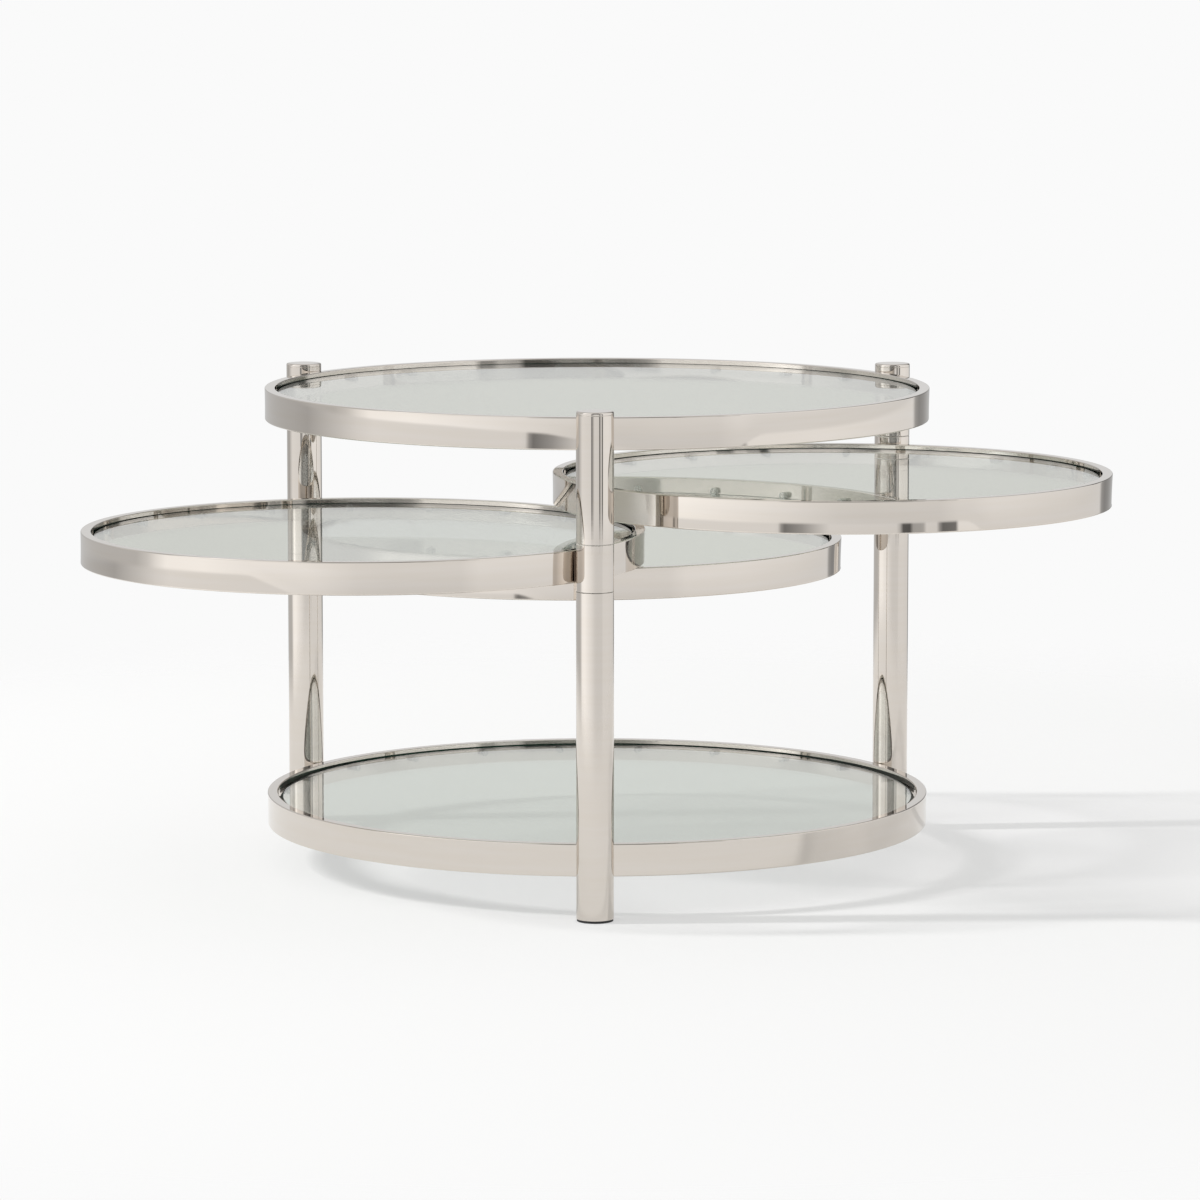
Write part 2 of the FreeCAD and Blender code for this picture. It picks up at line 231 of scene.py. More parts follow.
# Clear soft PVC tube cut to length: faintly milky, slightly uneven, with a dull shine.
def clearVinyl():
    look = {
        "colour": "#F0F2EE",
        "index": 1.53,
        "clear": 0.35,  # share of the light that passes, the rest is milky
        "roughness": 0.18,
        "spread": (0.6, 1.4),
        "cloud": 3 * mm,
        "cloudHeight": 0.05 * mm,
        "bump": 0.4,
    }
    material, tree = startMaterial("clearVinyl")
    place = addNode(tree, "ShaderNodeTexCoord").outputs["Object"]
    clouds = addNode(tree, "ShaderNodeTexNoise", {"Vector": place, "Scale": 1 / look["cloud"], "Detail": 2.0})
    rough = addNode(tree, "ShaderNodeMapRange", {
        "Value": clouds.outputs["Fac"], "To Min": look["roughness"] * look["spread"][0],
        "To Max": look["roughness"] * look["spread"][1]})
    bump = addNode(tree, "ShaderNodeBump", {
        "Height": clouds.outputs["Fac"], "Strength": look["bump"], "Distance": look["cloudHeight"]})
    shader = addNode(tree, "ShaderNodeBsdfPrincipled", {
        "Base Color": linearColour(look["colour"]), "Roughness": rough.outputs["Result"], "IOR": look["index"],
        "Transmission Weight": look["clear"], "Normal": bump.outputs["Normal"]})
    addNode(tree, "ShaderNodeOutputMaterial", {"Surface": shader.outputs["BSDF"]})
    return material


# Turned mild steel: a grey shine with fine rings left by the tool.
def turnedSteel():
    look = {
        "colour": "#CFCCC7",
        "darker": "#BBB8B3",
        "roughness": 0.24,
        "spread": (0.7, 1.3),
        "feed": 0.4 * mm,  # from ring to ring, coarser than a real feed so that it shows
        "feedRun": 33.333 * mm,  # how far a ring goes before it changes
        "feedHeight": 0.01 * mm,
        "bump": 0.4,
    }
    material, tree = startMaterial("turnedSteel")
    place = addNode(tree, "ShaderNodeTexCoord").outputs["Object"]
    squashed = addNode(tree, "ShaderNodeMapping", {
        "Vector": place, "Scale": (1 / look["feedRun"], 1 / look["feedRun"], 1 / look["feed"])})
    rings = addNode(tree, "ShaderNodeTexNoise", {"Vector": squashed.outputs["Vector"], "Scale": 1.0, "Detail": 2.0})
    tint = addNode(tree, "ShaderNodeMix", {
        "Factor": rings.outputs["Fac"], "A": linearColour(look["colour"]), "B": linearColour(look["darker"])},
        data_type="RGBA")
    rough = addNode(tree, "ShaderNodeMapRange", {
        "Value": rings.outputs["Fac"], "To Min": look["roughness"] * look["spread"][0],
        "To Max": look["roughness"] * look["spread"][1]})
    bump = addNode(tree, "ShaderNodeBump", {
        "Height": rings.outputs["Fac"], "Strength": look["bump"], "Distance": look["feedHeight"]})
    shader = addNode(tree, "ShaderNodeBsdfPrincipled", {
        "Base Color": tint.outputs["Result"], "Metallic": 1.0, "Roughness": rough.outputs["Result"],
        "Normal": bump.outputs["Normal"]})
    addNode(tree, "ShaderNodeOutputMaterial", {"Surface": shader.outputs["BSDF"]})
    return material


# Moulded black rubber: matt, with a fine sparked grain from the mould.
def mouldedRubber():
    look = {
        "colour": "#1A1A1B",
        "dusty": "#262626",
        "roughness": 0.6,
        "spread": (0.85, 1.2),
        "grain": 0.6 * mm,
        "grainHeight": 0.03 * mm,
        "bump": 0.6,
    }
    material, tree = startMaterial("mouldedRubber")
    place = addNode(tree, "ShaderNodeTexCoord").outputs["Object"]
    grain = addNode(tree, "ShaderNodeTexNoise", {"Vector": place, "Scale": 1 / look["grain"], "Detail": 3.0})
    tint = addNode(tree, "ShaderNodeMix", {
        "Factor": grain.outputs["Fac"], "A": linearColour(look["colour"]), "B": linearColour(look["dusty"])},
        data_type="RGBA")
    rough = addNode(tree, "ShaderNodeMapRange", {
        "Value": grain.outputs["Fac"], "To Min": look["roughness"] * look["spread"][0],
        "To Max": look["roughness"] * look["spread"][1]})
    bump = addNode(tree, "ShaderNodeBump", {
        "Height": grain.outputs["Fac"], "Strength": look["bump"], "Distance": look["grainHeight"]})
    shader = addNode(tree, "ShaderNodeBsdfPrincipled", {
        "Base Color": tint.outputs["Result"], "Roughness": rough.outputs["Result"], "Normal": bump.outputs["Normal"]})
    addNode(tree, "ShaderNodeOutputMaterial", {"Surface": shader.outputs["BSDF"]})
    return material


# Cast nylon, machined for the bushes: waxy, with faint turning marks. The lower bushes carry the trays and are
# filled and dark grey. The upper ones are pale, which lightens the shade in their seams so that they show fainter:
# painted light.
def castNylon(name, colour, paler):
    look = {
        "roughness": 0.42,
        "spread": (0.85, 1.2),
        "mark": 0.5 * mm,
        "markRun": 16.667 * mm,
        "markHeight": 0.02 * mm,
        "bump": 0.5,
    }
    material, tree = startMaterial(name)
    place = addNode(tree, "ShaderNodeTexCoord").outputs["Object"]
    squashed = addNode(tree, "ShaderNodeMapping", {
        "Vector": place, "Scale": (1 / look["markRun"], 1 / look["markRun"], 1 / look["mark"])})
    marks = addNode(tree, "ShaderNodeTexNoise", {"Vector": squashed.outputs["Vector"], "Scale": 1.0, "Detail": 2.0})
    tint = addNode(tree, "ShaderNodeMix", {
        "Factor": marks.outputs["Fac"], "A": linearColour(colour), "B": linearColour(paler)}, data_type="RGBA")
    rough = addNode(tree, "ShaderNodeMapRange", {
        "Value": marks.outputs["Fac"], "To Min": look["roughness"] * look["spread"][0],
        "To Max": look["roughness"] * look["spread"][1]})
    bump = addNode(tree, "ShaderNodeBump", {
        "Height": marks.outputs["Fac"], "Strength": look["bump"], "Distance": look["markHeight"]})
    shader = addNode(tree, "ShaderNodeBsdfPrincipled", {
        "Base Color": tint.outputs["Result"], "Roughness": rough.outputs["Result"], "Normal": bump.outputs["Normal"]})
    addNode(tree, "ShaderNodeOutputMaterial", {"Surface": shader.outputs["BSDF"]})
    return material


nickel, weldPaintedShade, steel = polishedNickel(), platedWeldPaintedShade(), turnedSteel()
filledNylon = castNylon("filledNylon", "#6E6B66", "#7D7A75")
# pale: painted light that lightens the shade in the upper seams
paleSeamNylon = castNylon("paleSeamNylon", "#DCD8CF", "#E8E5DE")
glass, glassEdgeWithGapShade, vinyl, rubber = floatGlass(), groundEdge(), clearVinyl(), mouldedRubber()
print("materials made,", len(bpy.data.materials))


# measuring the solids

measured = {}


def meshPoints(node):
    if node not in measured:
        vertices = frame["nodes"][node].data.vertices
        flat = np.empty(len(vertices) * 3)
        vertices.foreach_get("co", flat)
        measured[node] = flat.reshape(-1, 3)
    return measured[node]


def axisOf(node):
    # the upright axis of a round solid, from a circle fitted to its widest points
    points = meshPoints(node)[:, :2]
    centre = (points.min(0) + points.max(0)) / 2
    for margin in (0.5 * mm, 0.1 * mm):  # a wide rim first, then a narrow one about the better centre
        reach = np.linalg.norm(points - centre, axis=1)
        rim = points[reach > reach.max() - margin]
        sums = np.column_stack([2 * rim, np.ones(len(rim))])
        centre = np.linalg.lstsq(sums, (rim ** 2).sum(1), rcond=None)[0][:2]
    return Vector(centre)


def roundSize(node, above=-math.inf, below=math.inf):
    # inner radius, outer radius, bottom and top of a round solid, or of the part of it between two heights
    points = meshPoints(node)
    points = points[(points[:, 2] > above) & (points[:, 2] < below)]
    reach = np.linalg.norm(points[:, :2] - np.array(axisOf(node)), axis=1)
    return reach.min(), reach.max(), points[:, 2].min(), points[:, 2].max()


# building the pieces

sharpAngle = 33  # degrees between two faces from which their edge stays sharp


def softened(corners, steps, hold, loop):
    # rounds each (radius, height, round) corner of a profile, with a point either side to keep the flats flat
    points = []
    for index, (across, up, bend) in enumerate(corners):
        here = Vector((across, up))
        if bend == 0 or (not loop and index in (0, len(corners) - 1)):
            points.append(here)
            continue
        before = (Vector(corners[index - 1][:2]) - here).normalized()
        after = (Vector(corners[(index + 1) % len(corners)][:2]) - here).normalized()
        half = before.angle(after) / 2
        setBack = bend / math.tan(half)
        middle = here + (before + after).normalized() * bend / math.sin(half)
        start, end = here + before * setBack - middle, here + after * setBack - middle
        sweep = start.angle_signed(end)
        points.append(here + before * (setBack + hold))
        for step in range(steps + 1):
            turn = Matrix.Rotation(-sweep * step / steps, 2)
            points.append(middle + turn @ start)
        points.append(here + after * (setBack + hold))
    return points


def finishPiece(name, mesh, nodes, material):
    mesh.materials.append(material)
    mesh.shade_smooth()
    mesh.set_sharp_from_angle(angle=math.radians(sharpAngle))
    piece = bpy.data.objects.new(name, mesh)
    scene.collection.objects.link(piece)
    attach(piece, bodyOfNode[nodes[0]])
    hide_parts(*nodes)
    return piece


def turnPiece(name, node, profile, places, segments, loop, material):
    # sweeps a profile round an upright axis; the map runs round the axis and along the profile, in metres
    verts, faces, maps = [], [], []
    lengths = [0.0]
    for first, second in zip(profile, profile[1:] + profile[:1]):
        lengths.append(lengths[-1] + (second - first).length)
    widest = max(point.x for point in profile)
    count = len(profile)
    for place in places:
        base = len(verts)
        for segment in range(segments):
            angle = 2 * math.pi * segment / segments
            for point in profile:
                verts.append(place @ Vector((point.x * math.cos(angle), point.x * math.sin(angle), point.y)))
        for segment in range(segments):
            here, there = base + segment * count, base + (segment + 1) % segments * count
            runs = [2 * math.pi * widest * (segment + side) / segments for side in (0, 1)]
            for step in range(count if loop else count - 1):
                following = (step + 1) % count
                faces.append((here + step, there + step, there + following, here + following))
                maps += [(runs[0], lengths[step]), (runs[1], lengths[step]),
                         (runs[1], lengths[step + 1]), (runs[0], lengths[step + 1])]
        if not loop:
            for step in (0, count - 1):
                face = [base + segment * count + step for segment in range(segments)]
                if step == 0:
                    face.reverse()
                faces.append(face)
                maps += [(verts[corner].x, verts[corner].y) for corner in face]
    mesh = bpy.data.meshes.new(name)
    mesh.from_pydata(verts, [], faces)
    layer = mesh.uv_layers.new(name="alongSurface")
    for corner, pair in zip(layer.data, maps):
        corner.uv = pair
    return finishPiece(name, mesh, [node], material)


def upright(node):
    return [Matrix.Translation(axisOf(node).to_3d())]


def wallShift(height, level, middle, sink, lean):
    # how far a rolled wall stands out at a height: hollow about one level, leaning about its middle
    return (height - level) ** 2 * sink - (height - middle) * lean


# Rings rolled from flat bar, edges eased on the wheel. Rolling leaves the outer wall a few tenths hollow and
# leaning, by degrees that change along the bar, and the inner wall a little open towards its foot, which only
# shows in where the reflections break.
ringDetail = {
    "segments": 320,
    "edgeRound": 0.9 * mm,
    "roundSteps": 5,
    "hold": 0.3 * mm,
    "touch": 0.03 * mm,  # a point this near to the outer wall is on it
    "flare": 1.0,  # degrees by which the inner wall opens below the glass
    "fullFlare": {"upper_tray": 2.3},  # or over its full height
    "wallSteps": 14,
    "hollowTurn": 1.33,  # degrees from the upright at the wall's edges
    "hollowLevel": 0.375,  # the level that stays upright, below the middle as a share of half the height
    "lean": {  # degrees by bearing, seen from the camera's side
        "top": [(-180, 0.0), (-60, 0.3), (-25, 0.3), (-8, 0.0), (10, -1.4), (24, -1.4), (28, -0.4), (100, -0.4),
                (180, 0.0)],
        "bottom": [(-180, 0.0), (180, 0.0)],
        "upper_tray": [(-180, 0.0), (26, 0.0), (31, -1.4), (100, -1.4), (180, 0.0)],
        "middle_tray": [(-180, 0.9), (-20, 0.9), (-8, -0.9), (60, -0.9), (180, 0.9)],
        "lower_tray": [(-180, 0.0), (-10, 0.0), (0, -1.2), (100, -1.2), (180, 0.0)],
    },
}
ringNames = ["top", "bottom"] + [f"{tray}_tray" for tray in trays]
for name in ringNames:
    node = f"{name}_ring"
    inner, outer, low, high = roundSize(node)
    ease, hold = ringDetail["edgeRound"], ringDetail["hold"]
    half, middle = (high - low) / 2, (high + low) / 2
    corners = [(inner, low, ease), (outer, low, ease), (outer, high, ease), (inner, high, ease)]
    profile = softened(corners, ringDetail["roundSteps"], hold, True)
    onWall = outer - ringDetail["touch"]
    cut = next(at for at, point in enumerate(profile) if point.x > onWall and point.y > middle)
    span, wallSteps = high - low - 2 * ease - 2 * hold, ringDetail["wallSteps"]
    wall = [Vector((outer, low + ease + hold + span * step / wallSteps)) for step in range(1, wallSteps)]
    seat = roundSize(f"{name}_glass")[2]
    flareTop = high - ease if name in ringDetail["fullFlare"] else seat
    flare = math.tan(math.radians(ringDetail["fullFlare"].get(name, ringDetail["flare"])))
    profile = profile[:cut] + wall + profile[cut:] + [Vector((inner, seat + hold)), Vector((inner, seat))]
    piece = turnPiece(
        f"{node}_bar", node, profile, upright(node), ringDetail["segments"], True, nickel)
    bearings, leans = zip(*ringDetail["lean"][name])
    sink = math.radians(ringDetail["hollowTurn"]) / (2 * half)
    level = middle - ringDetail["hollowLevel"] * half
    centre = axisOf(node)
    for vertex in piece.data.vertices:
        spoke = vertex.co.xy - centre
        if spoke.length > outer - ease / 2:  # the outer wall
            bearing = math.degrees(math.atan2(spoke.x, -spoke.y))
            lean = math.tan(math.radians(np.interp(bearing, bearings, leans)))
            most = max(wallShift(edge, level, middle, sink, lean) for edge in (high, low))
            shift = wallShift(vertex.co.z, level, middle, sink, lean) - most
            vertex.co.xy = centre + spoke * (1 + shift / spoke.length)
        elif spoke.length < inner + 2 * ease and vertex.co.z < flareTop:  # the inner wall
            shift = (flareTop - vertex.co.z) * flare
            vertex.co.xy = centre + spoke * (1 + shift / spoke.length)
print("rings made")

# Glass panes: flat faces, a ground edge and a bevel either side of it, wider on the bottom pane. The bevels take the
# edge's dark colour, so the wider bevel widens the band of painted shade round the bottom pane's rim.
paneDetail = {
    "segments": 320,
    "bevel": 0.8 * mm,
    "wideBevelOfEdgeShade": {"bottom": 3.0 * mm},
    "bevelRound": 0.12 * mm,
    "roundSteps": 2,
    "hold": 0.05 * mm,
    "level": 0.9,  # a face whose normal stands up less than this belongs to the ground edge
}
for name in ringNames:
    node = f"{name}_glass"
    _, outer, low, high = roundSize(node)
    bevel, ease = paneDetail["wideBevelOfEdgeShade"].get(name, paneDetail["bevel"]), paneDetail["bevelRound"]
    corners = [
        (outer - bevel - 2 * ease, low, 0), (outer - bevel, low, ease), (outer, low + bevel, ease),
        (outer, high - bevel, ease), (outer - bevel, high, ease), (outer - bevel - 2 * ease, high, 0)]
    profile = softened(corners, paneDetail["roundSteps"], paneDetail["hold"], False)
    pane = turnPiece(f"{node}_pane", node, profile, upright(node), paneDetail["segments"], False, glass)
    pane.data.materials.append(glassEdgeWithGapShade)
    for face in pane.data.polygons:
        if abs(face.normal.z) < paneDetail["level"]:
            face.material_index = 1
print("glass made")

# Leg tubes and swivel collars: plain polished sections with the cut edges just broken
tubeDetail = {"segments": 128, "edgeRound": 0.18 * mm, "roundSteps": 3, "hold": 0.15 * mm}
tubeNodes = [f"{leg}_leg_{part}_tube" for leg in trays.values() for part in ("lower", "upper")]
for node in tubeNodes + [f"{tray}_tray_collar" for tray in trays]:
    inner, outer, low, high = roundSize(node)
    ease = tubeDetail["edgeRound"]
    corners = [(inner, low, 0), (outer, low, ease), (outer, high, ease), (inner, high, 0)]
    profile = softened(corners, tubeDetail["roundSteps"], tubeDetail["hold"], True)
    turnPiece(f"{node}_section", node, profile, upright(node), tubeDetail["segments"], True, nickel)
print("legs and collars made")

# Leg caps: a disc with a rounded rim on a stem inside the tube
capDetail = {
    "segments": 128,
    "rimRound": 1.6 * mm,
    "seamRound": 0.3 * mm,
    "discHeight": 3.2 * mm,
    "stemBelow": 1 * mm,  # the stem is measured this far under the disc
    "centre": 0.5,  # share of the radius inside which the top is one flat face
    "roundSteps": 6,
    "hold": 0.3 * mm,
}
for leg in trays.values():
    node = f"{leg}_leg_cap"
    _, outer, low, high = roundSize(node)
    shoulder = high - capDetail["discHeight"]
    stem = roundSize(node, below=shoulder - capDetail["stemBelow"])[1]
    corners = [
        (stem, low, 0), (stem, shoulder, 0), (outer, shoulder, capDetail["seamRound"]),
        (outer, high, capDetail["rimRound"]), (outer * capDetail["centre"], high, 0)]
    profile = softened(corners, capDetail["roundSteps"], capDetail["hold"], False)
    turnPiece(f"{node}_disc", node, profile, upright(node), capDetail["segments"], False, nickel)
print("caps made")

# Foot pads: thin moulded discs with a hollow stem inside the tube
footDetail = {
    "segments": 96,
    "edgeRound": 0.5 * mm,
    "padHeight": 2.2 * mm,
    "stemTop": 1 * mm,  # the stem is measured in its last stretch, this long
    "centre": 0.5,  # share of the stem's bore inside which the pad is one flat face
    "roundSteps": 3,
    "hold": 0.1 * mm,
}
for leg in trays.values():
    node = f"{leg}_leg_foot"
    _, outer, low, high = roundSize(node)
    shoulder = low + footDetail["padHeight"]
    stemInner, stem, _, _ = roundSize(node, above=high - footDetail["stemTop"])
    ease, centre = footDetail["edgeRound"], stemInner * footDetail["centre"]
    corners = [
        (centre, low, 0), (outer, low, ease), (outer, shoulder, ease), (stem, shoulder, 0), (stem, high, 0),
        (stemInner, high, 0), (stemInner, shoulder, 0), (centre, shoulder, 0)]
    profile = softened(corners, footDetail["roundSteps"], footDetail["hold"], False)
    turnPiece(f"{node}_pad", node, profile, upright(node), footDetail["segments"], False, rubber)
print("feet made")

# Pins that carry the glass, and the clear sleeves over them
pinDetail = {
    "segments": 24,
    "pinRound": 0.7 * mm,
    "sleeveRound": 0.2 * mm,
    "centre": 1 / 3,  # share of the radius inside which a pin's end is one flat face
    "empty": 0.08,  # radians round the ring that are surely empty between one pin and the next
    "roundSteps": 3,
    "hold": 0.1 * mm,
}
for name in ringNames:
    centre = axisOf(f"{name}_ring")
    for kind in ("pins", "sleeves"):
        node = f"{name}_glass_{kind}"
        points = meshPoints(node) - np.array((centre.x, centre.y, 0.0))
        bearings = np.arctan2(points[:, 1], points[:, 0])
        order = np.sort(bearings)
        empty = pinDetail["empty"]
        gaps = np.flatnonzero(np.diff(order) > empty)
        count = len(gaps) + (order[0] + 2 * math.pi - order[-1] > empty)
        first = points[(bearings > order[gaps[0]] + empty / 2) & (bearings <= order[gaps[1]] + empty / 2)]
        bearing = np.arctan2(first[:, 1].mean(), first[:, 0].mean())
        outward = Vector((math.cos(bearing), math.sin(bearing), 0.0))
        level = (first[:, 2].min() + first[:, 2].max()) / 2
        reach = first[:, :2] @ np.array(outward.xy)
        start, length = reach.min(), np.ptp(reach)
        across = np.hypot(first[:, :2] @ np.array((-outward.y, outward.x)), first[:, 2] - level)
        bore, radius = across.min(), across.max()
        aim = outward.to_track_quat("Z", "Y").to_matrix().to_4x4()
        seat = Matrix.Translation(outward * start + Vector((0, 0, level))) @ aim
        onRing = Matrix.Translation(centre.to_3d())
        places = [onRing @ Matrix.Rotation(2 * math.pi * step / count, 4, "Z") @ seat for step in range(count)]
        if kind == "pins":
            ease = pinDetail["pinRound"]
            corners = [(radius * pinDetail["centre"], 0, 0), (radius, 0, ease), (radius, length, 0)]
            profile = softened(corners, pinDetail["roundSteps"], pinDetail["hold"], False)
            turnPiece(f"{node}_row", node, profile, places, pinDetail["segments"], False, steel)
        else:
            ease = pinDetail["sleeveRound"]
            corners = [(bore, 0, ease), (radius, 0, ease), (radius, length, ease), (bore, length, ease)]
            profile = softened(corners, pinDetail["roundSteps"], pinDetail["hold"], True)
            turnPiece(f"{node}_row", node, profile, places, pinDetail["segments"], True, vinyl)
        print(node, count, "pieces, radius", round(radius / mm, 2), "mm, length", round(length / mm, 2), "mm")

# Welds: a bead filling the narrow space between a ring and a tube, hollow on both open sides and faintly rippled
weldDetail = {
    "arcSteps": 10,
    "sideSteps": 6,
    "rippleSteps": 6,
    "ripple": 1.8 * mm,
    "rippleDepth": 0.12 * mm,
    "hollow": 0.22,  # depth of the open sides, as a share of the space that the bead fills
}
weldJoins = {f"{tray}_tray_weld": (f"{tray}_tray_ring", f"{tray}_tray_collar") for tray in trays}
for leg in trays.values():
    weldJoins[f"top_ring_{leg}_weld"] = ("top_ring", f"{leg}_leg_upper_tube")
    weldJoins[f"bottom_ring_{leg}_weld"] = ("bottom_ring", f"{leg}_leg_lower_tube")
for node, (ringNode, tubeNode) in weldJoins.items():
    ringCentre, ringRadius, tubeRadius = axisOf(ringNode), roundSize(ringNode)[1], roundSize(tubeNode)[1]
    arm = axisOf(tubeNode) - ringCentre
    outward = arm.normalized()
    sideways = Vector((-outward.y, outward.x))
    points = meshPoints(node)
    half = np.abs((points[:, :2] - np.array(ringCentre)) @ np.array(sideways)).max()
    low, high = points[:, 2].min(), points[:, 2].max()
    count = round((high - low) / weldDetail["ripple"] * weldDetail["rippleSteps"])
    loopSize = 2 * weldDetail["arcSteps"] + 2 * weldDetail["sideSteps"]
    verts, faces = [], []
    for level in range(count + 1):
        rise = (high - low) * level / count
        swell = weldDetail["rippleDepth"] * abs(math.sin(math.pi * rise / weldDetail["ripple"]))
        width = half - weldDetail["rippleDepth"] + swell
        ringTurn, tubeTurn = math.asin(width / ringRadius), math.asin(width / tubeRadius)
        ringEnd = Vector((ringRadius * math.cos(ringTurn), width))
        tubeEnd = Vector((arm.length - tubeRadius * math.cos(tubeTurn), width))
        dip = weldDetail["hollow"] * (tubeEnd - ringEnd).length
        ringArc, tubeArc, side = [], [], []
        for step in range(weldDetail["arcSteps"]):
            turn = 2 * step / weldDetail["arcSteps"] - 1
            ringArc.append(Vector((ringRadius * math.cos(turn * ringTurn), ringRadius * math.sin(turn * ringTurn))))
            tubeArc.append(Vector((
                arm.length - tubeRadius * math.cos(turn * tubeTurn), -tubeRadius * math.sin(turn * tubeTurn))))
        for step in range(weldDetail["sideSteps"]):
            share = step / weldDetail["sideSteps"]
            side.append(ringEnd.lerp(tubeEnd, share) - Vector((0, 4 * share * (1 - share) * dip)))  # a parabola
        back = [Vector((ringEnd.x + tubeEnd.x - point.x, -point.y)) for point in side]
        for point in ringArc + side + tubeArc + back:
            flat = ringCentre + outward * point.x + sideways * point.y
            verts.append((flat.x, flat.y, low + rise))
    for level in range(count):
        here, there = level * loopSize, (level + 1) * loopSize
        for step in range(loopSize):
            following = (step + 1) % loopSize
            faces.append((here + step, here + following, there + following, there + step))
    faces.append(list(reversed(range(loopSize))))
    faces.append([count * loopSize + step for step in range(loopSize)])
    mesh = bpy.data.meshes.new(f"{node}_bead")
    mesh.from_pydata(verts, [], faces)
    finishPiece(f"{node}_bead", mesh, [node], weldPaintedShade)
print("welds made,", len(weldJoins))

# Nodes that keep their own shape: the swivel's inside, with the flanges that show as seams
kept = {}
for leg in trays.values():
    kept.update({f"{leg}_leg_{part}": steel for part in ("lower_plug", "upper_plug", "spindle")})
for tray in trays:
    kept.update({f"{tray}_tray_lower_bush": filledNylon, f"{tray}_tray_upper_bush": paleSeamNylon})
for node, material in kept.items():
    for holder in frame["nodes"][node].material_slots:
        holder.material = material
print("kept nodes given their finish,", len(kept))

# Floor: a pale seamless paper sheet that fades into the white round it
floorDetail = {
    "segments": 256,
    "level": -0.2 * mm,  # just under the feet
    "radius": 1.7,  # metres, as are the two ends of the fade
    "fadeFrom": 1.0,
    "fadeTo": 1.65,
    "colour": "#F8F8F7",
    "white": "#FAFAFA",
    # painted shade: the paper turns darker grey where it is seen through the glass, for the dim floor under the table
    "throughGlass": "#D3D6D1",
    "lift": 0.5,  # the share of plain white in the paper, shadows too, seen directly or through the glass
    "mirroredLift": 0.45,  # and seen in the metal
}
bpy.ops.mesh.primitive_circle_add(
    vertices=floorDetail["segments"], radius=floorDetail["radius"], fill_type="NGON",
    location=(0, 0, floorDetail["level"]))
floor = bpy.context.object
floor.name = "floorSheet"
floorPaper, tree = startMaterial("seamlessPaper")
place = addNode(tree, "ShaderNodeTexCoord").outputs["Object"]
distance = addNode(tree, "ShaderNodeVectorMath", {0: place}, operation="LENGTH")
fade = addNode(tree, "ShaderNodeMapRange", {
    "Value": distance.outputs["Value"], "From Min": floorDetail["fadeFrom"], "From Max": floorDetail["fadeTo"]},
    interpolation_type="SMOOTHSTEP")
rays = addNode(tree, "ShaderNodeLightPath")
throughGlass = rays.outputs["Is Transmission Ray"]
shade = addNode(tree, "ShaderNodeMix", {
    "Factor": throughGlass, "A": linearColour(floorDetail["colour"]), "B": linearColour(floorDetail["throughGlass"])},
    data_type="RGBA")
glow = addNode(tree, "ShaderNodeMix", {
    "Factor": throughGlass, "A": linearColour(floorDetail["white"]), "B": linearColour(floorDetail["throughGlass"])},
    data_type="RGBA")
direct = addNode(tree, "ShaderNodeMath", {0: rays.outputs["Is Camera Ray"], 1: throughGlass}, operation="MAXIMUM")
seen = addNode(tree, "ShaderNodeMath", {0: direct.outputs["Value"], 1: floorDetail["lift"]}, operation="MULTIPLY")
inMetal = addNode(tree, "ShaderNodeMath", {
    0: rays.outputs["Is Glossy Ray"], 1: floorDetail["mirroredLift"]}, operation="MULTIPLY")
lift = addNode(tree, "ShaderNodeMath", {0: seen.outputs["Value"], 1: inMetal.outputs["Value"]}, operation="MAXIMUM")
paper = addNode(tree, "ShaderNodeBsdfDiffuse", {"Color": shade.outputs["Result"]})
whitened = addNode(tree, "ShaderNodeEmission", {"Color": glow.outputs["Result"], "Strength": 1.0})
lifted = addNode(tree, "ShaderNodeMixShader", {
    0: lift.outputs["Value"], 1: paper.outputs["BSDF"], 2: whitened.outputs["Emission"]})
away = addNode(tree, "ShaderNodeBsdfTransparent")
blend = addNode(tree, "ShaderNodeMixShader", {
    0: fade.outputs["Result"], 1: lifted.outputs["Shader"], 2: away.outputs["BSDF"]})
addNode(tree, "ShaderNodeOutputMaterial", {"Surface": blend.outputs["Shader"]})
floor.data.materials.append(floorPaper)

